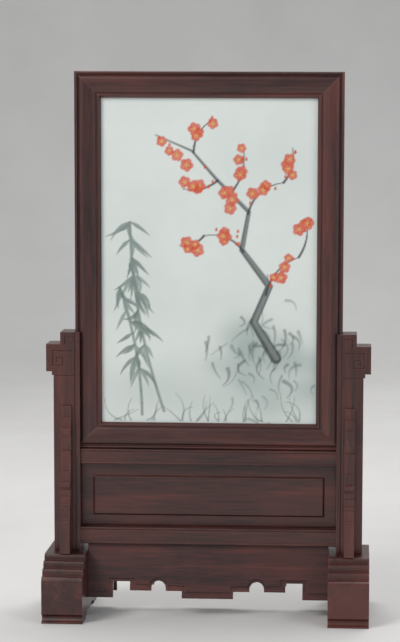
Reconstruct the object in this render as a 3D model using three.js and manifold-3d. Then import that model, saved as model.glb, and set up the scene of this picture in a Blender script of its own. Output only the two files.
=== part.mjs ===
// A table screen: a porcelain plaque in a mitred hardwood frame that drops into the grooved posts of a stand.
// Millimetres, +Z up, the front faces -Y, and the origin lies on the table under the middle of the feet.
import * as THREE from "three";
import ManifoldModule from "manifold-3d";

const wasm = await ManifoldModule();
wasm.setup();
const { Manifold, CrossSection } = wasm;

// Visible plaque and its frame
const SIGHT_WIDTH = 250;
const SIGHT_HEIGHT = 377;
const FRAME_FACE = 30.5;
const FRAME_DEPTH = 21;
const LIP_BEHIND = 7;
const REBATE = 5;
const PLAQUE_THICK = 6;
const BACK_BOARD_THICK = 4;
const STRIP_WIDTH = 7;
const MITRE_TENON_FROM = 9;
const MITRE_TENON_TO = 21;
const MITRE_TENON_THICK = 6;
const MITRE_TENON_SHORT = 8;

// Posts
const GROOVE_DEEP = 6;
const POST_WIDTH = 30.5;
const POST_DEPTH = 34;
const POST_TOP = 333;
const TOP_BLOCK_TALL = 14;
const TOP_BLOCK_SET_IN = 8;
const EAR_OUT = 8.6;
const EAR_TALL = 32;
const POST_TENON = 22;

// Rails and waist panel
const UPPER_RAIL_TALL = 18;
const UPPER_RAIL_DEPTH = 28;
const LOWER_RAIL_TALL = 20;
const LOWER_RAIL_DEPTH = 34;
const LOWER_RAIL_FLOOR = 84;
const WAIST_TALL = 74;
const RAIL_TENON = 12;
const WAIST_THICK = 8;
const WAIST_TONGUE = 4;
const FIELD_MARGIN_X = 14;
const FIELD_MARGIN_Z = 12.5;
const FIELD_RAISE = 2.5;

// Feet, spandrels and aprons
const FOOT_WIDTH = 47.5;
const FOOT_HALF_DEPTH = 66;
const PLATFORM_HALF_DEPTH = 39.5;
const PLATFORM_TOP = 76;
const SPANDREL_THICK = 11.5;
const APRON_THICK = 8.5;
const APRON_RAISE = 2.5;
const APRON_LEAN = 14;
const APRON_TOP_SETBACK = 6.2;

// Fits: FIT is round a tongue or tenon, SLACK is round the parts that slide or lie loose
const FIT = 0.15;
const SLACK = 0.3;
const GROOVE_WIDE = 1.8;
const GROOVE_CUT = 1.4;

// What follows from the sizes above
const FRAME_WIDTH = SIGHT_WIDTH + 2 * FRAME_FACE;
const FRAME_HEIGHT = SIGHT_HEIGHT + 2 * FRAME_FACE;
const FRONT = -FRAME_DEPTH / 2;
const POST_INNER = FRAME_WIDTH / 2 - GROOVE_DEEP;
const POST_OUTER = POST_INNER + POST_WIDTH;
const POST_MIDDLE = (POST_INNER + POST_OUTER) / 2;
const LOWER_RAIL_TOP = LOWER_RAIL_FLOOR + LOWER_RAIL_TALL;
const UPPER_RAIL_FLOOR = LOWER_RAIL_TOP + WAIST_TALL;
const FRAME_FLOOR = UPPER_RAIL_FLOOR + UPPER_RAIL_TALL;
const FOOT_INNER = POST_MIDDLE - FOOT_WIDTH / 2;

function block(x0, x1, y0, y1, z0, z1) {
  return Manifold.cube([x1 - x0, y1 - y0, z1 - z0]).translate([x0, y0, z0]);
}

function flat(outline) {
  return new CrossSection([outline], "EvenOdd");
}

// The outline holds [y, z] points and runs from x0 to x1.
function alongX(outline, x0, x1) {
  return flat(outline).extrude(x1 - x0).rotate([90, 0, 90]).translate([x0, 0, 0]);
}

// The outline holds [x, z] points and runs from y0 to y1.
function alongY(outline, y0, y1) {
  return flat(outline).extrude(y1 - y0).rotate([90, 0, 0]).translate([0, y1, 0]);
}

// The outline holds [x, y] points and runs from z0 to z1.
function alongZ(outline, z0, z1) {
  return flat(outline).extrude(z1 - z0).translate([0, 0, z0]);
}

function arc(cx, cy, radius, from, to, steps = 6) {
  return Array.from({ length: steps + 1 }, (_, i) => {
    const turn = ((from + ((to - from) * i) / steps) * Math.PI) / 180;
    return [cx + radius * Math.cos(turn), cy + radius * Math.sin(turn)];
  });
}

function flipX(solid) {
  return solid.mirror([1, 0, 0]);
}

function flipY(solid) {
  return solid.mirror([0, 1, 0]);
}

// Section of the frame's moulding: [distance in from the outer edge, y].
function frameSection() {
  const at = (inward, deep) => [inward, FRONT + deep];
  return [
    at(0, FRAME_DEPTH),
    at(0, 2.4),
    ...arc(1.7, FRONT + 2.4, 1.7, 180, 340, 6),
    at(3.5, 3.6),
    at(4.6, 3.6),
    at(5, 2.2),
    at(6.6, 0.8),
    at(9, 0.1),
    at(12, 0),
    at(17, 0.5),
    at(22, 1.6),
    at(24.4, 2.5),
    at(24.8, 3.3),
    at(25.6, 3.3),
    ...arc(27.6, FRONT + 3.3, 1.9, 190, 350, 6),
    at(FRAME_FACE, 4.2),
    at(FRAME_FACE, LIP_BEHIND),
    at(FRAME_FACE - REBATE, LIP_BEHIND),
    at(FRAME_FACE - REBATE, FRAME_DEPTH),
  ];
}

// Lies along z with its outer edge at x = 0 and both ends mitred.
function mitredMember(length) {
  const half = length / 2;
  const cut = (-half + 0.03) / Math.SQRT2;
  return alongZ(frameSection(), -half, half)
    .trimByPlane([-Math.SQRT1_2, 0, -Math.SQRT1_2], cut)
    .trimByPlane([-Math.SQRT1_2, 0, Math.SQRT1_2], cut);
}

// Tenon at one end of a rail, which ends short of the stile's outer edge.
function mitreTenon(length, spare) {
  const half = length / 2;
  return block(
    MITRE_TENON_FROM - spare,
    MITRE_TENON_TO + spare,
    -MITRE_TENON_THICK / 2 - spare,
    MITRE_TENON_THICK / 2 + spare,
    half - FRAME_FACE + 2,
    half - MITRE_TENON_SHORT + 2 * spare,
  );
}

function bothEnds(solid) {
  return solid.add(solid.mirror([0, 0, 1]));
}

// Turns a member that lies along z into a top rail, or a bottom one.
function layAsRail(solid, top) {
  const laid = solid.rotate([0, 90, 0]);
  const turned = top ? laid : laid.mirror([0, 0, 1]);
  return turned.translate([0, 0, FRAME_FLOOR + (top ? FRAME_HEIGHT : 0)]);
}

function frameRail(top) {
  const member = mitredMember(FRAME_WIDTH);
  return layAsRail(member.add(bothEnds(mitreTenon(FRAME_WIDTH, 0))), top);
}

function frameStile(side) {
  const member = mitredMember(FRAME_HEIGHT).translate([-FRAME_WIDTH / 2, 0, FRAME_FLOOR + FRAME_HEIGHT / 2]);
  const mortises = [true, false].map((top) => layAsRail(bothEnds(mitreTenon(FRAME_WIDTH, FIT)), top));
  const stile = member.subtract(mortises[0]).subtract(mortises[1]);
  return side < 0 ? stile : flipX(stile);
}

// A flat sheet that lies in the frame's rebate.
function rebateSheet(y0, y1, edge) {
  const halfWidth = SIGHT_WIDTH / 2 + REBATE - SLACK;
  const low = FRAME_FLOOR + FRAME_FACE - REBATE + SLACK;
  const high = FRAME_FLOOR + FRAME_HEIGHT - FRAME_FACE + REBATE - SLACK;
  const body = block(-halfWidth + edge, halfWidth - edge, y0, y1, low + edge, high - edge);
  return edge ? body.hull().add(block(-halfWidth, halfWidth, y0 + edge, y1, low, high)) : body;
}

// Strips that hold the back board, with the inner rear edge planed off.
function retainingStrip(which) {
  const y0 = FRONT + LIP_BEHIND + PLAQUE_THICK + BACK_BOARD_THICK;
  const y1 = FRAME_DEPTH / 2;
  const section = [[0, y0], [STRIP_WIDTH, y0], [STRIP_WIDTH, y0 + 1.5], [STRIP_WIDTH - 2.5, y1], [0, y1]];
  const halfWidth = SIGHT_WIDTH / 2 + REBATE - SLACK;
  const halfHeight = SIGHT_HEIGHT / 2 + REBATE - SLACK;
  const middle = FRAME_FLOOR + FRAME_HEIGHT / 2;
  if (which === "left" || which === "right") {
    const inner = halfHeight - STRIP_WIDTH - FIT;
    const strip = alongZ(section, -inner, inner).translate([-halfWidth, 0, middle]);
    return which === "left" ? strip : flipX(strip);
  }
  const strip = alongZ(section, -halfWidth, halfWidth).rotate([0, 90, 0]);
  const turned = which === "top" ? strip : strip.mirror([0, 0, 1]);
  return turned.translate([0, 0, middle + (which === "top" ? halfHeight : -halfHeight)]);
}

// Shallow groove that follows a path of [x, z] points on the front and rear faces of a post.
function faceGroove(path) {
  const half = GROOVE_WIDE / 2;
  const cuts = path.slice(1).map((end, i) => {
    const start = path[i];
    const xs = [start[0], end[0]].sort((a, b) => a - b);
    const zs = [start[1], end[1]].sort((a, b) => a - b);
    const face = POST_DEPTH / 2;
    return block(xs[0] - half, xs[1] + half, -face - 1, -face + GROOVE_CUT, zs[0] - half, zs[1] + half);
  });
  const front = Manifold.union(cuts);
  return front.add(flipY(front));
}

// Square spiral that fills the ear of a post's head, running inward from the neck.
function keyFret(earFloor) {
  const right = POST_OUTER + EAR_OUT - 8;
  const left = POST_INNER + 9.5;
  const top = earFloor + EAR_TALL - 8;
  const low = earFloor + 7;
  const step = 9.2;
  return [
    [left, top],
    [right, top],
    [right, low],
    [right - 1.25 * step, low],
    [right - 1.25 * step, low + step],
    [right - 0.45 * step, low + step],
    [right - 0.45 * step, low + 0.45 * step],
  ];
}

function waistSeat() {
  return waistTongue(SLACK);
}

function waistTongue(spare) {
  return block(
    -POST_INNER - WAIST_TONGUE - spare,
    POST_INNER + WAIST_TONGUE + spare,
    -WAIST_THICK / 4 - spare / 2,
    WAIST_THICK / 4 + spare / 2,
    LOWER_RAIL_TOP - WAIST_TONGUE - spare,
    UPPER_RAIL_FLOOR + WAIST_TONGUE + spare,
  );
}

function railTenons(floor, tall, spare) {
  const reach = POST_INNER + RAIL_TENON + 2 * spare;
  return block(-reach, reach, -5 - spare, 5 + spare, floor + 4 - spare, floor + tall - 3 + spare);
}

// Rail between the posts, with a small bead along its top and bottom edges.
function rail(floor, tall, depth) {
  const face = -depth / 2;
  const top = floor + tall;
  const front = [
    [0, floor],
    ...arc(face + 1.6, floor + 1.6, 1.6, 270, 140, 5),
    [face + 1.3, floor + 3.4],
    [face + 0.9, floor + 3.8],
    [face + 0.9, top - 3.8],
    [face + 1.3, top - 3.4],
    ...arc(face + 1.6, top - 1.6, 1.6, 220, 90, 5),
    [0, top],
  ];
  const half = alongX(front, -POST_INNER, POST_INNER);
  return half.add(flipY(half)).add(railTenons(floor, tall, 0)).subtract(waistSeat());
}

function post(side) {
  const earFloor = POST_TOP - TOP_BLOCK_TALL - EAR_TALL;
  const ear = POST_OUTER + EAR_OUT;
  const outline = [
    [POST_INNER, PLATFORM_TOP],
    [POST_OUTER, PLATFORM_TOP],
    [POST_OUTER, earFloor - 4.5],
    [POST_OUTER + 2, earFloor - 4.5],
    [POST_OUTER + 2, earFloor],
    [ear, earFloor],
    [ear, earFloor + EAR_TALL],
    [POST_OUTER - TOP_BLOCK_SET_IN, earFloor + EAR_TALL],
    [POST_OUTER - TOP_BLOCK_SET_IN, POST_TOP],
    [POST_INNER, POST_TOP],
  ];
  const face = POST_DEPTH / 2;
  const body = alongY(outline, -face, face).add(postTenon(0));
  const line = POST_INNER + 5.5;
  const borderX = POST_OUTER - TOP_BLOCK_SET_IN - 5.3;
  const carved = Manifold.union([
    faceGroove([[line, PLATFORM_TOP - 2], [line, POST_TOP + 2]]),
    faceGroove([[line, POST_TOP - 6], [borderX, POST_TOP - 6], [borderX, earFloor + EAR_TALL]]),
    faceGroove([[line, earFloor - 5], [POST_OUTER + 4, earFloor - 5]]),
    faceGroove(keyFret(earFloor)),
  ]);
  const gap = FRAME_DEPTH / 2 + SLACK;
  const groove = block(POST_INNER - 1, POST_INNER + GROOVE_DEEP + SLACK, -gap, gap, FRAME_FLOOR, POST_TOP + 1);
  const made = body
    .subtract(carved)
    .subtract(groove)
    .subtract(waistSeat())
    .subtract(railTenons(LOWER_RAIL_FLOOR, LOWER_RAIL_TALL, FIT))
    .subtract(railTenons(UPPER_RAIL_FLOOR, UPPER_RAIL_TALL, FIT));
  return side < 0 ? flipX(made) : made;
}

function postTenon(spare) {
  const half = POST_WIDTH / 4 + spare;
  const floor = PLATFORM_TOP - POST_TENON - 2 * spare;
  return block(POST_MIDDLE - half, POST_MIDDLE + half, -8 - spare, 8 + spare, floor, PLATFORM_TOP + 1);
}

// Side view of the front half of a shoe foot, from the middle out: lip, cove, block, two ledges, platform.
function foot(side) {
  const face = -FOOT_HALF_DEPTH;
  const edge = -PLATFORM_HALF_DEPTH;
  const front = [
    [0, 7],
    [edge + 12, 7],
    [edge + 2, 0],
    [face, 0],
    [face, 2],
    [face + 3, 3],
    ...arc(face + 1.4, 6.6, 3.2, -40, 60, 5),
    [face, 11],
    ...arc(face + 5, 49, 5, 180, 90, 6),
    [face + 9, 54],
    [face + 9, 60],
    [face + 10, 61.5],
    [face + 17.5, 61.5],
    [face + 17.5, 67.5],
    [face + 18.5, 69],
    [edge, 69],
    ...arc(edge + 3.5, PLATFORM_TOP - 3.5, 3.5, 180, 90, 5),
    [0, PLATFORM_TOP],
  ];
  const half = alongX(front, FOOT_INNER, FOOT_INNER + FOOT_WIDTH);
  const made = half.add(flipY(half)).subtract(postTenon(FIT));
  return side < 0 ? flipX(made) : made;
}

// Standing spandrel in front of a post. Each pair is [distance out from the post, z] down its stepped edge.
function spandrel(side, front) {
  const steps = [
    [3.5, 247], [3.5, 233.5], [7, 233.5], [7, 221], [10.5, 221], [10.5, 216],
    [8.2, 211], [6.6, 203], [6, 194.5], [9.5, 194.5], [9.5, 171], [12.5, 171],
    [12.5, 158.5], [16, 158.5], [16, 154], [13.6, 150], [12.4, 142], [14.5, 142],
    [14.5, 134], [17, 134], [17, 129.6], [19, 129.6], [19, 117.6], [21, 117.6],
    [21, 113.8], [22.5, 113.8], [22.5, PLATFORM_TOP],
  ];
  const face = -POST_DEPTH / 2;
  const outline = [[face, 247], ...steps.map(([out, z]) => [face - out, z]), [face, PLATFORM_TOP]];
  const half = SPANDREL_THICK / 2;
  const plate = alongX(outline, POST_MIDDLE - half, POST_MIDDLE + half);
  const turned = front ? plate : flipY(plate);
  return side < 0 ? flipX(turned) : turned;
}

// The panel's raised field has sloping edges, on both faces.
function waistPanel() {
  const x = POST_INNER - SLACK;
  const z0 = LOWER_RAIL_TOP + SLACK;
  const z1 = UPPER_RAIL_FLOOR - SLACK;
  const half = WAIST_THICK / 2;
  const board = block(-x, x, -half, half, z0, z1).add(waistTongue(0));
  const fx = POST_INNER - FIELD_MARGIN_X;
  const low = LOWER_RAIL_TOP + FIELD_MARGIN_Z;
  const high = UPPER_RAIL_FLOOR - FIELD_MARGIN_Z - 1.5;
  const field = Manifold.hull([
    block(-fx, fx, -half - 0.6, half + 0.6, low, high),
    block(-fx + 2, fx - 2, -half - FIELD_RAISE, half + FIELD_RAISE, low + 2, high - 2),
  ]);
  return board.add(field);
}

// Mirrors the left half of a lower edge, which is listed from the middle out as [x, drop] points.
function cuspedBoard(half, above) {
  const left = half.map(([x, drop]) => [-x, -drop]);
  const right = half.map(([x, drop]) => [x, -drop]).reverse();
  const end = half[half.length - 1][0];
  return [...right, ...left, [-end, above], [end, above]];
}

function cuspedArch(middle, radius, base, top) {
  const centre = top + radius;
  return [
    [middle - radius, base],
    ...arc(middle, centre, radius, 180, 360, 10),
    [middle + radius, base],
  ];
}

// Slanted apron between the feet: a cusped board with a raised face that leaves a margin along the edge.
function apron(front) {
  const end = FOOT_INNER - 0.05;
  const boardEdge = [
    [0, 64.5], [30, 64.5], [30, 56], ...cuspedArch(57.5, 8.6, 56, 44.3),
    [91, 56], [91, 45.5], [111, 45.5], [111, 64.5], [end, 64.5],
  ];
  const faceEdge = [
    [0, 56.5], [26, 56.5], [26, 50], ...cuspedArch(57.5, 11.6, 48.5, 40.2),
    [85, 48], [85, 41.5], [116.5, 41.5], [116.5, 56.5], [end, 56.5],
  ];
  const y1 = APRON_THICK / 2;
  const step = -y1 + APRON_RAISE;
  const board = alongY(cuspedBoard(boardEdge, 8), step, y1);
  const raised = alongY(cuspedBoard(faceEdge, 8), -y1, step + 0.5);
  const made = board
    .add(raised)
    .rotate([-APRON_LEAN, 0, 0])
    .translate([0, -APRON_TOP_SETBACK, LOWER_RAIL_FLOOR])
    .trimByPlane([0, 0, -1], -LOWER_RAIL_FLOOR);
  return front ? made : flipY(made);
}

const hardwood = new THREE.MeshStandardMaterial({ color: 0x35130f, roughness: 0.42, metalness: 0 });
const porcelain = new THREE.MeshStandardMaterial({ color: 0xe6e9e4, roughness: 0.12, metalness: 0 });
const plainWood = new THREE.MeshStandardMaterial({ color: 0x6b4526, roughness: 0.7, metalness: 0 });

function piece(name, solid, material) {
  const { vertProperties, triVerts } = solid.getMesh();
  const geometry = new THREE.BufferGeometry();
  geometry.setAttribute("position", new THREE.BufferAttribute(new Float32Array(vertProperties), 3));
  geometry.setIndex(new THREE.BufferAttribute(new Uint32Array(triVerts), 1));
  geometry.computeVertexNormals();
  const mesh = new THREE.Mesh(geometry, material);
  mesh.name = name;
  return mesh;
}

const plaqueFront = FRONT + LIP_BEHIND;
const plaqueBack = plaqueFront + PLAQUE_THICK;

const stand = new THREE.Group();
stand.name = "stand";
for (const [word, side] of [["left", -1], ["right", 1]]) {
  stand.add(piece(`foot_${word}`, foot(side), hardwood));
  stand.add(piece(`post_${word}`, post(side), hardwood));
  stand.add(piece(`spandrel_front_${word}`, spandrel(side, true), hardwood));
  stand.add(piece(`spandrel_rear_${word}`, spandrel(side, false), hardwood));
}
stand.add(piece("upper_rail", rail(UPPER_RAIL_FLOOR, UPPER_RAIL_TALL, UPPER_RAIL_DEPTH), hardwood));
stand.add(piece("lower_rail", rail(LOWER_RAIL_FLOOR, LOWER_RAIL_TALL, LOWER_RAIL_DEPTH), hardwood));
stand.add(piece("waist_panel", waistPanel(), hardwood));
stand.add(piece("apron_front", apron(true), hardwood));
stand.add(piece("apron_rear", apron(false), hardwood));

const screen = new THREE.Group();
screen.name = "screen";
screen.add(piece("frame_top_rail", frameRail(true), hardwood));
screen.add(piece("frame_bottom_rail", frameRail(false), hardwood));
screen.add(piece("frame_stile_left", frameStile(-1), hardwood));
screen.add(piece("frame_stile_right", frameStile(1), hardwood));
screen.add(piece("porcelain_plaque", rebateSheet(plaqueFront, plaqueBack, 1), porcelain));
screen.add(piece("back_board", rebateSheet(plaqueBack, plaqueBack + BACK_BOARD_THICK, 0), plainWood));
for (const which of ["top", "bottom", "left", "right"]) {
  screen.add(piece(`retaining_strip_${which}`, retainingStrip(which), plainWood));
}

const object = new THREE.Group();
object.name = "table_screen";
object.add(stand, screen);
export default object;
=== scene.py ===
"""A table screen: a painted porcelain plaque in a dark hardwood frame and stand, in soft studio light."""

import math

import bpy
import numpy as np
from mathutils import Matrix, Vector


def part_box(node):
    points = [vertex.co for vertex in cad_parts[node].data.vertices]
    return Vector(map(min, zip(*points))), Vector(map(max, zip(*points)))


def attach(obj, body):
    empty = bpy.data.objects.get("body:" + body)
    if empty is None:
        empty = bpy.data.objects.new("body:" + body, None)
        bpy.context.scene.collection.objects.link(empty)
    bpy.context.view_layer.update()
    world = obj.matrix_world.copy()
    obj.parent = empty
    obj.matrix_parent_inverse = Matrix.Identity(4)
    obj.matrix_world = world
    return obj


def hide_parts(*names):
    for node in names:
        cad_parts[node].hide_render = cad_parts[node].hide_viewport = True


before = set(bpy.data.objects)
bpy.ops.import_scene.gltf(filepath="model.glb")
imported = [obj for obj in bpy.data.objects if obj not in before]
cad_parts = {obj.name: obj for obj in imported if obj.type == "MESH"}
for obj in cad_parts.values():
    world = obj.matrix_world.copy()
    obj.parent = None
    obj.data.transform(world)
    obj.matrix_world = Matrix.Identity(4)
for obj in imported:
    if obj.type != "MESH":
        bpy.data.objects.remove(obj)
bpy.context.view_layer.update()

# Photograph, in its pixels: its sides, the focal length, and where lines that run straight back meet
PHOTO_WIDTH, PHOTO_HEIGHT = 400, 642
FOCAL_PX = 2000
VANISH_X, VANISH_Y = 355, 118
ROLL_DEG = 0.25

# Camera: its place in metres, its sensor in mm, and its sideways shift as a share of the long side
CAMERA_PLACE = (0.169, -2.31, 0.581)
SENSOR = 36
SHIFT_X = -0.10
RENDER_SCALE = 2

# Hardwood tones from the pores to the red patches, and those of the plain wood at the back
HARDWOOD = {"dark": (0.010, 0.0045, 0.004), "middle": (0.035, 0.011, 0.009), "red": (0.115, 0.026, 0.018)}
PLAIN_WOOD = {"dark": (0.07, 0.035, 0.018), "middle": (0.14, 0.075, 0.037), "red": (0.22, 0.12, 0.06)}
HARDWOOD_ROUGHNESS = 0.36
PLAIN_ROUGHNESS = 0.62
# Radius of the rounded edges, which are lightened partly as wear and partly as a painted highlight
EDGE_WEAR_AND_HIGHLIGHT_RADIUS = 0.0011
GRAIN_X, GRAIN_Y, GRAIN_Z = range(3)
BLACK = (0, 0, 0)
EVEN = (1, 1, 1)

# Painting: the side of one cell of its grid in mm, and its colours
CELL = 1.15
SEED = 31
INK = (0.035, 0.042, 0.045)
INK_GREEN = (0.12, 0.17, 0.15)
MIST = (0.36, 0.42, 0.40)
GLAZE = (0.70, 0.735, 0.71)
CORAL = (0.60, 0.075, 0.035)
CORAL_PALE = (0.72, 0.25, 0.17)
STAMEN = (0.72, 0.48, 0.16)

# Painting: the motifs, in mm from the plaque's middle
# x, z, width, height, strength
WASHES = (
    (-70, -150, 90, 34, 0.34),
    (60, -165, 110, 30, 0.42),
    (-90, 20, 40, 90, 0.12),
    (80, 120, 60, 50, 0.10),
    (0, -60, 120, 40, 0.10),
)
TRUNK = ((78, -112), (52, -70), (70, -28), (38, 14), (46, 58), (8, 96), (-20, 128), (-62, 146))
TRUNK_HALF_WIDTHS = (6.5, 4.6, 4.2, 3.0, 2.4, 1.8, 1.3, 0.6)
# start, end, sag
TWIGS = (
    ((66, -38), (104, 6), 8),
    ((104, 6), (112, 52), -5),
    ((40, 12), (-6, 30), -8),
    ((-6, 30), (-34, 18), 4),
    ((45, 56), (86, 92), 9),
    ((86, 92), (96, 132), -5),
    ((10, 94), (-30, 84), 5),
    ((-18, 126), (4, 164), 6),
    ((24, 78), (40, 130), -6),
)
FLOWERS_PER_TWIG = 4
BUDS_PER_TWIG = 3
GRASS_BLADES = 30
GRASS_HALF_SPAN = 118
GRASS_FOOT = -186

# Studio, in metres
FLOOR_HALF_WIDTH = 6.0
FLOOR_FRONT = -6.0
FLOOR_BACK = 2.2
BACKDROP_BEND = 1.2
BACKDROP_TOP = 5.0
LAMPS_AIM = (0, 0, 0.33)
# name, place, (width, height), watts, colour
LAMPS = (
    ("key", (-1.7, -1.9, 2.1), (1.3, 1.3), 55, (1, 0.985, 0.96)),
    ("fill", (2.2, -1.6, 1.2), (1.4, 1.8), 18, (0.95, 0.98, 1)),
    ("top", (0.1, 0.5, 2.3), (1.6, 1.0), 26, (1, 1, 1)),
    ("rear", (1.2, 2.0, 1.7), (1.2, 1.2), 14, (1, 1, 1)),
)
SKY = (0.9, 0.93, 1, 1)
SKY_STRENGTH = 0.42


def new_material(name):
    material = bpy.data.materials.new(name)
    material.use_nodes = True
    tree = material.node_tree
    tree.nodes.clear()
    output = tree.nodes.new("ShaderNodeOutputMaterial")
    shader = tree.nodes.new("ShaderNodeBsdfPrincipled")
    tree.links.new(shader.outputs["BSDF"], output.inputs["Surface"])
    return material, tree, shader


def object_place(tree):
    return tree.nodes.new("ShaderNodeTexCoord").outputs["Object"]


def ramp(tree, factor, stops):
    """Turns a factor into a colour by (place, colour) stops."""
    node = tree.nodes.new("ShaderNodeValToRGB")
    while len(node.color_ramp.elements) < len(stops):
        node.color_ramp.elements.new(0.5)
    for element, (place, colour) in zip(node.color_ramp.elements, stops):
        element.position = place
        element.color = (*colour, 1)
    tree.links.new(factor, node.inputs["Fac"])
    return node.outputs["Color"]


def blend(tree, factor, first, second, mode="MIX"):
    """Mixes two colours, each of them a socket or three numbers."""
    node = tree.nodes.new("ShaderNodeMix")
    node.data_type = "RGBA"
    node.blend_type = mode
    for socket, value in ((node.inputs[0], factor), (node.inputs[6], first), (node.inputs[7], second)):
        if isinstance(value, bpy.types.NodeSocket):
            tree.links.new(value, socket)
        else:
            socket.default_value = value if isinstance(value, float) else (*value, 1)
    return node.outputs[2]


def noise(tree, place, scale, stretch=EVEN, detail=6.0, roughness=0.6, distortion=0.0):
    mapping = tree.nodes.new("ShaderNodeMapping")
    mapping.inputs["Scale"].default_value = stretch
    tree.links.new(place, mapping.inputs["Vector"])
    node = tree.nodes.new("ShaderNodeTexNoise")
    node.inputs["Scale"].default_value = scale
    node.inputs["Detail"].default_value = detail
    node.inputs["Roughness"].default_value = roughness
    node.inputs["Distortion"].default_value = distortion
    tree.links.new(mapping.outputs["Vector"], node.inputs["Vector"])
    return node.outputs["Fac"]


def map_range(tree, value, to_low, to_high, from_low=0.0, from_high=1.0):
    node = tree.nodes.new("ShaderNodeMapRange")
    node.inputs["From Min"].default_value = from_low
    node.inputs["From Max"].default_value = from_high
    node.inputs["To Min"].default_value = to_low
    node.inputs["To Max"].default_value = to_high
    tree.links.new(value, node.inputs["Value"])
    return node.outputs["Result"]


def bump(tree, shader, height, strength, distance, normal=None):
    node = tree.nodes.new("ShaderNodeBump")
    node.inputs["Strength"].default_value = strength
    node.inputs["Distance"].default_value = distance
    tree.links.new(height, node.inputs["Height"])
    if normal:
        tree.links.new(normal, node.inputs["Normal"])
    tree.links.new(node.outputs["Normal"], shader.inputs["Normal"])


def grain(along, share):
    """A stretch of 1 across the grain and share along it."""
    return [share if axis == along else 1.0 for axis in range(3)]


def edge_wear_and_highlight(tree, radius):
    """How much an edge is lightened, partly as wear and partly as a painted highlight, from 0 on a flat
    to 1 on a corner, and the normal with its edges rounded.
    """
    bevel = tree.nodes.new("ShaderNodeBevel")
    bevel.samples = 6
    bevel.inputs["Radius"].default_value = radius
    geometry = tree.nodes.new("ShaderNodeNewGeometry")
    dot = tree.nodes.new("ShaderNodeVectorMath")
    dot.operation = "DOT_PRODUCT"
    tree.links.new(bevel.outputs["Normal"], dot.inputs[0])
    tree.links.new(geometry.outputs["Normal"], dot.inputs[1])
    wear_and_highlight = map_range(tree, dot.outputs["Value"], 0.0, 1.0, from_low=0.99, from_high=0.80)
    return wear_and_highlight, bevel.outputs["Normal"]


def polished_wood(name, along, tones, roughness):
    """Polished wood whose grain runs along one axis, with pores, redder patches, and edges lightened
    partly as wear and partly as a painted highlight.
    """
    material, tree, shader = new_material(name)
    place = object_place(tree)
    dark, middle, red = tones["dark"], tones["middle"], tones["red"]
    bands = noise(tree, place, 60, grain(along, 0.06), 5.0, 0.55, 0.6)
    fibres = noise(tree, place, 420, grain(along, 0.06), 4.0, 0.65)
    patches = noise(tree, place, 9, grain(along, 0.45), 3.0, 0.5)
    pores = noise(tree, place, 900, grain(along, 0.03), 2.0, 0.5)

    wood = ramp(tree, bands, [(0.32, dark), (0.52, middle), (0.72, red)])
    wood = blend(tree, 0.35, wood, ramp(tree, fibres, [(0.35, dark), (0.65, red)]))
    wood = blend(tree, ramp(tree, patches, [(0.48, BLACK), (0.68, (0.55, 0.55, 0.55))]), wood, red)
    wood = blend(tree, ramp(tree, pores, [(0.66, BLACK), (0.72, (0.6, 0.6, 0.6))]), wood, dark)

    wear_and_highlight, rounded = edge_wear_and_highlight(tree, EDGE_WEAR_AND_HIGHLIGHT_RADIUS)
    wear_and_highlight_share = tree.nodes.new("ShaderNodeMath")
    wear_and_highlight_share.operation = "MULTIPLY"
    wear_and_highlight_share.inputs[1].default_value = 0.55
    tree.links.new(wear_and_highlight, wear_and_highlight_share.inputs[0])
    # Edges turn a paler red: partly wear, partly a painted highlight where light catches them
    worn_and_highlit_red = tuple(min(1.0, 1.9 * part + 0.03) for part in red)
    wood = blend(tree, wear_and_highlight_share.outputs[0], wood, worn_and_highlit_red)
    tree.links.new(wood, shader.inputs["Base Color"])

    smears = noise(tree, place, 35, EVEN, 4.0)
    tree.links.new(
        map_range(tree, smears, roughness - 0.09, roughness + 0.14), shader.inputs["Roughness"]
    )
    bump(tree, shader, pores, strength=0.22, distance=0.0004, normal=rounded)
    shader.inputs["Coat Weight"].default_value = 0.25
    shader.inputs["Coat Roughness"].default_value = 0.22
    return material


def glazed_porcelain():
    """The painting's colours under a clear glaze that varies a little in tone, gloss and level."""
    material, tree, shader = new_material("painted_porcelain")
    paint = tree.nodes.new("ShaderNodeAttribute")
    paint.attribute_name = "Paint"
    place = object_place(tree)
    tone = noise(tree, place, 14, EVEN, 3.0)
    tint = ramp(tree, tone, [(0.3, (0.93, 0.96, 0.95)), (0.7, (1.0, 1.0, 0.985))])
    colour = blend(tree, 1.0, paint.outputs["Color"], tint, "MULTIPLY")
    tree.links.new(colour, shader.inputs["Base Color"])
    gloss = map_range(tree, noise(tree, place, 40, EVEN, 3.0), 0.10, 0.22)
    tree.links.new(gloss, shader.inputs["Roughness"])
    bump(tree, shader, noise(tree, place, 55, EVEN, 2.0), strength=0.05, distance=0.0008)
    shader.inputs["Coat Weight"].default_value = 0.4
    shader.inputs["Coat Roughness"].default_value = 0.06
    return material


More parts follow.
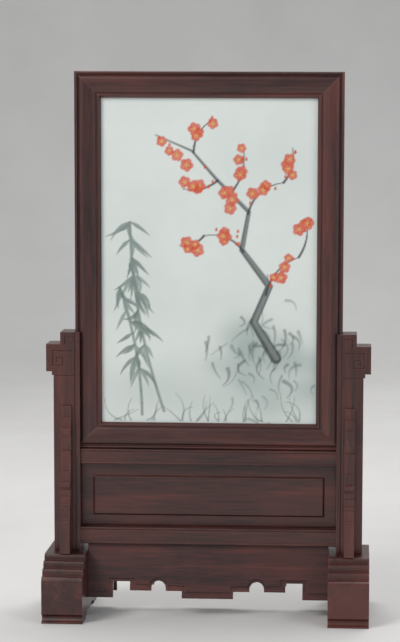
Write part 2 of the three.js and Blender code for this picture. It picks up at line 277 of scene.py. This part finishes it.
class Painting:
    """Brush strokes laid on a grid of colours, in mm from the plaque's middle."""

    def __init__(self, xs, zs):
        self.x, self.z = np.meshgrid(xs, zs)
        self.colour = np.empty((*self.x.shape, 3))
        self.colour[:] = GLAZE
        self.random = np.random.default_rng(SEED)

    def wash(self, x, z, wide, tall, colour, strength):
        """A soft patch that fades out from its middle."""
        far = ((self.x - x) / wide) ** 2 + ((self.z - z) / tall) ** 2
        cover = np.clip(strength * np.exp(-far), 0, 1)[..., None]
        self.colour = self.colour * (1 - cover) + np.array(colour) * cover

    def stroke(self, points, widths, colour, strength=0.85, soft=0.8):
        """A stroke through points. Its half widths are spread evenly from its start to its end."""
        points = np.asarray(points, float)
        reach = max(widths) + 3
        low, high = points.min(0) - reach, points.max(0) + reach
        rows = np.where((self.z[:, 0] >= low[1]) & (self.z[:, 0] <= high[1]))[0]
        columns = np.where((self.x[0] >= low[0]) & (self.x[0] <= high[0]))[0]
        if not len(rows) or not len(columns):
            return
        part = np.ix_(rows, columns)
        x, z = self.x[part], self.z[part]
        cover = np.zeros(x.shape)
        count = len(points) - 1
        for i, (start, end) in enumerate(zip(points[:-1], points[1:])):
            way = end - start
            along = ((x - start[0]) * way[0] + (z - start[1]) * way[1]) / max(way @ way, 1e-9)
            along = np.clip(along, 0, 1)
            far = np.hypot(x - start[0] - along * way[0], z - start[1] - along * way[1])
            half = np.interp((i + along) / count, np.linspace(0, 1, len(widths)), widths)
            cover = np.maximum(cover, np.clip((half + soft / 2 - far) / soft, 0, 1))
        cover = (cover * strength)[..., None]
        self.colour[part] = self.colour[part] * (1 - cover) + np.array(colour) * cover


def bend(start, end, sag, count=8):
    """Points of a stroke from start to end that bows sideways by sag."""
    start, end = np.array(start, float), np.array(end, float)
    along = np.linspace(0, 1, count)[:, None]
    way = end - start
    side = np.array([-way[1], way[0]]) / max(np.hypot(*way), 1e-9)
    return start + along * way + side * sag * 4 * along * (1 - along)


def between(first, second, share):
    """The colour that lies this share of the way from the first to the second."""
    return tuple((1 - share) * a + share * b for a, b in zip(first, second))


def paint_blossom(painting, x, z, size):
    """Five round petals and six stamens."""
    random = painting.random
    turn = random.uniform(0, 72)
    for petal in range(5):
        angle = math.radians(turn + 72 * petal)
        petal_x = x + 0.62 * size * math.cos(angle)
        petal_z = z + 0.62 * size * math.sin(angle)
        colour = between(CORAL, CORAL_PALE, random.uniform(0, 0.45))
        dab = [(petal_x, petal_z), (petal_x + 0.1, petal_z + 0.1)]
        painting.stroke(dab, [0.52 * size] * 2, colour, 0.88, 1.2)
    for ray in range(6):
        angle = math.radians(turn + 30 + 60 * ray)
        tip = (x + 0.5 * size * math.cos(angle), z + 0.5 * size * math.sin(angle))
        painting.stroke([(x, z), tip], [0.35, 0.35], STAMEN, 0.9)
    painting.stroke([(x, z), (x + 0.1, z)], [0.7, 0.7], STAMEN, 0.9)


def paint_branch(painting):
    """The plum's trunk with a paler side, and its twigs."""
    painting.stroke(TRUNK, TRUNK_HALF_WIDTHS, INK, 0.86, 1.4)
    paler = [0.45 * half for half in TRUNK_HALF_WIDTHS]
    painting.stroke(np.array(TRUNK) + [0.8, 0.5], paler, MIST, 0.35, 1.6)
    for start, end, sag in TWIGS:
        painting.stroke(bend(start, end, sag), [1.5, 0.5], INK, 0.85)


def paint_flowers(painting):
    """Blossoms and buds scattered along the twigs and the upper trunk."""
    random = painting.random
    for start, end, sag in (*TWIGS, (TRUNK[5], TRUNK[7], 4), (TRUNK[3], TRUNK[5], -5)):
        line = bend(start, end, sag, 20)
        last = len(line) - 1
        for at in random.uniform(0.3, 1.0, FLOWERS_PER_TWIG):
            spot = line[int(at * last)] + random.normal(0, 4, 2)
            paint_blossom(painting, *spot, random.uniform(4.4, 7.2))
        for at in random.uniform(0.1, 1.0, BUDS_PER_TWIG):
            bud = line[int(at * last)] + random.normal(0, 3, 2)
            painting.stroke([bud, bud + [0, 1.6]], [1.7, 1.0], CORAL, 0.85)


def paint_rock(painting, x, z, wide, tall):
    """Overlapping pale washes under short falling strokes."""
    random = painting.random
    for _ in range(26):
        dx, dz = random.normal(0, 0.34), random.normal(0, 0.30)
        painting.wash(x + dx * wide, z + dz * tall, 0.22 * wide, 0.17 * tall, MIST, 0.42)
    for _ in range(60):
        start = (x + random.normal(0, 0.32) * wide, z + random.normal(0.1, 0.30) * tall)
        end = (start[0] + random.normal(0, 7), start[1] - random.uniform(9, 24))
        colour = INK_GREEN if random.random() < 0.5 else INK
        line = bend(start, end, random.normal(0, 3))
        painting.stroke(line, [random.uniform(0.6, 2.6), 0.4], colour, 0.5, 1.6)


def paint_bamboo(painting, foot, top, sag, leaves):
    """A jointed stalk whose leaves hang from its upper part."""
    random = painting.random
    stalk = bend(foot, top, sag, 12)
    for start, end in zip(stalk[:-1], stalk[1:]):
        gap = (end - start) * 0.06
        painting.stroke([start + gap, end - gap], [1.7, 1.6], INK_GREEN, 0.7, 1.2)
    for _ in range(leaves):
        root = stalk[random.integers(4, 12)]
        angle = math.radians(random.uniform(-150, -30))
        long = random.uniform(18, 34)
        tip = root + long * np.array([math.cos(angle), math.sin(angle)])
        colour = between(INK_GREEN, MIST, random.uniform(0, 0.6))
        painting.stroke(bend(root, tip, random.normal(0, 2.5)), [0.5, 2.4, 1.6, 0.3], colour, 0.8)


def paint_grass(painting):
    random = painting.random
    for _ in range(GRASS_BLADES):
        start = np.array([random.uniform(-GRASS_HALF_SPAN, GRASS_HALF_SPAN), GRASS_FOOT])
        tip = start + [random.normal(0, 10), random.uniform(10, 34)]
        painting.stroke(bend(start, tip, random.normal(0, 3)), [0.9, 0.3], INK_GREEN, 0.6)


def paint_plaque(xs, zs):
    """Plum blossom over a garden rock, with bamboo in mist."""
    painting = Painting(xs, zs)
    for x, z, wide, tall, strength in WASHES:
        painting.wash(x, z, wide, tall, MIST, strength)
    paint_bamboo(painting, (-52, -176), (-92, 46), sag=9, leaves=38)
    paint_bamboo(painting, (-78, -180), (-104, -30), sag=-6, leaves=22)
    paint_rock(painting, 62, -122, wide=86, tall=92)
    paint_branch(painting)
    paint_flowers(painting)
    paint_grass(painting)
    return painting.colour


def make_plaque(material):
    """The porcelain slab, whose front is a fine grid that carries the painting's colours."""
    low, high = (np.array(corner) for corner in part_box("porcelain_plaque"))
    middle = (low + high) / 2
    columns = round((high[0] - low[0]) * 1000 / CELL) + 1
    rows = round((high[2] - low[2]) * 1000 / CELL) + 1
    xs, zs = np.linspace(low[0], high[0], columns), np.linspace(low[2], high[2], rows)
    colours = paint_plaque((xs - middle[0]) * 1000, (zs - middle[2]) * 1000)

    grid_x, grid_z = np.meshgrid(xs, zs)
    front = np.column_stack([grid_x.ravel(), np.full(grid_x.size, low[1]), grid_z.ravel()])
    back = front.copy()
    back[:, 1] = high[1]
    index = np.arange(grid_x.size).reshape(rows, columns)
    cells = (index[:-1, :-1], index[:-1, 1:], index[1:, 1:], index[1:, :-1])
    faces = np.stack(cells, -1).reshape(-1, 4).tolist()

    # The rim runs once round the front, and each of its points has one behind it
    rim = np.concatenate([index[0], index[1:, -1], index[-1, -2::-1], index[-2:0:-1, 0]])
    vertices = np.concatenate([front, back[rim]])
    count = len(front)
    behind = {int(old): count + i for i, old in enumerate(rim)}
    for here, after in zip(rim.tolist(), np.roll(rim, -1).tolist()):
        faces.append((after, here, behind[here], behind[after]))
    faces.append([behind[i] for i in rim[::-1].tolist()])

    mesh = bpy.data.meshes.new("plaque")
    mesh.from_pydata(vertices.tolist(), [], faces)
    paint = mesh.color_attributes.new("Paint", "FLOAT_COLOR", "POINT")
    values = np.ones((len(vertices), 4), dtype=np.float32)
    values[:count, :3] = colours.reshape(-1, 3)
    values[count:, :3] = GLAZE
    paint.data.foreach_set("color", values.ravel())
    mesh.materials.append(material)
    plaque = bpy.data.objects.new("plaque", mesh)
    bpy.context.scene.collection.objects.link(plaque)
    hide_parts("porcelain_plaque")
    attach(plaque, "screen")


def dress_wood():
    """Gives each wooden node a wood whose grain runs the long way of the piece."""
    woods = [
        polished_wood(f"hardwood_{'xyz'[axis]}", axis, HARDWOOD, HARDWOOD_ROUGHNESS)
        for axis in (GRAIN_X, GRAIN_Y, GRAIN_Z)
    ]
    plain = polished_wood("plain_wood", GRAIN_Z, PLAIN_WOOD, PLAIN_ROUGHNESS)
    for name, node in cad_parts.items():
        if name.startswith(("retaining", "back_board")):
            material = plain
        elif name.startswith("foot"):
            material = woods[GRAIN_Y]
        elif name.startswith(("post", "frame_stile", "spandrel")):
            material = woods[GRAIN_Z]
        else:
            material = woods[GRAIN_X]
        node.data.materials.clear()
        node.data.materials.append(material)


def make_floor():
    """A pale floor that bends up into a backdrop."""
    material, tree, shader = new_material("pale_floor")
    mottle = noise(tree, object_place(tree), 3)
    tone = ramp(tree, mottle, [(0.3, (0.60, 0.59, 0.57)), (0.7, (0.66, 0.65, 0.63))])
    tree.links.new(tone, shader.inputs["Base Color"])
    shader.inputs["Roughness"].default_value = 0.8

    bow = [
        (FLOOR_BACK + BACKDROP_BEND * math.sin(turn), BACKDROP_BEND * (1 - math.cos(turn)))
        for turn in np.linspace(0, math.pi / 2, 13)
    ]
    line = [(FLOOR_FRONT, 0.0), *bow, (FLOOR_BACK + BACKDROP_BEND, BACKDROP_TOP)]
    vertices = [(x, y, z) for y, z in line for x in (-FLOOR_HALF_WIDTH, FLOOR_HALF_WIDTH)]
    faces = [(2 * i, 2 * i + 1, 2 * i + 3, 2 * i + 2) for i in range(len(line) - 1)]
    mesh = bpy.data.meshes.new("floor")
    mesh.from_pydata(vertices, [], faces)
    mesh.shade_smooth()
    mesh.materials.append(material)
    floor = bpy.data.objects.new("floor", mesh)
    bpy.context.scene.collection.objects.link(floor)


def make_lamp(name, place, size, watts, colour):
    data = bpy.data.lights.new(name, "AREA")
    data.shape = "RECTANGLE"
    data.size, data.size_y = size
    data.energy = watts
    data.color = colour
    lamp = bpy.data.objects.new(name, data)
    bpy.context.scene.collection.objects.link(lamp)
    lamp.location = place
    lamp.rotation_euler = (Vector(place) - Vector(LAMPS_AIM)).to_track_quat("Z", "Y").to_euler()


def make_lights():
    for lamp in LAMPS:
        make_lamp(*lamp)
    world = bpy.data.worlds.new("studio")
    world.use_nodes = True
    background = world.node_tree.nodes["Background"]
    background.inputs["Color"].default_value = SKY
    background.inputs["Strength"].default_value = SKY_STRENGTH
    bpy.context.scene.world = world


def make_camera():
    """The photograph's camera: its turn comes from where lines that run straight back meet."""
    data = bpy.data.cameras.new("camera")
    data.sensor_width = SENSOR
    data.lens = FOCAL_PX / PHOTO_HEIGHT * SENSOR
    data.shift_x = SHIFT_X
    data.dof.use_dof = False
    axis_x = PHOTO_WIDTH / 2 - SHIFT_X * PHOTO_HEIGHT
    yaw = math.atan2(VANISH_X - axis_x, FOCAL_PX)
    pitch = math.atan2(PHOTO_HEIGHT / 2 - VANISH_Y, FOCAL_PX)
    turn = Matrix.Rotation(yaw, 4, "Z") @ Matrix.Rotation(math.pi / 2 - pitch, 4, "X")
    turn = turn @ Matrix.Rotation(math.radians(ROLL_DEG), 4, "Z")
    camera = bpy.data.objects.new("camera", data)
    bpy.context.scene.collection.objects.link(camera)
    camera.matrix_world = Matrix.Translation(CAMERA_PLACE) @ turn
    scene = bpy.context.scene
    scene.camera = camera
    scene.render.resolution_x = RENDER_SCALE * PHOTO_WIDTH
    scene.render.resolution_y = RENDER_SCALE * PHOTO_HEIGHT
    scene.view_settings.view_transform = "Standard"


make_camera()
dress_wood()
make_plaque(glazed_porcelain())
make_floor()
make_lights()
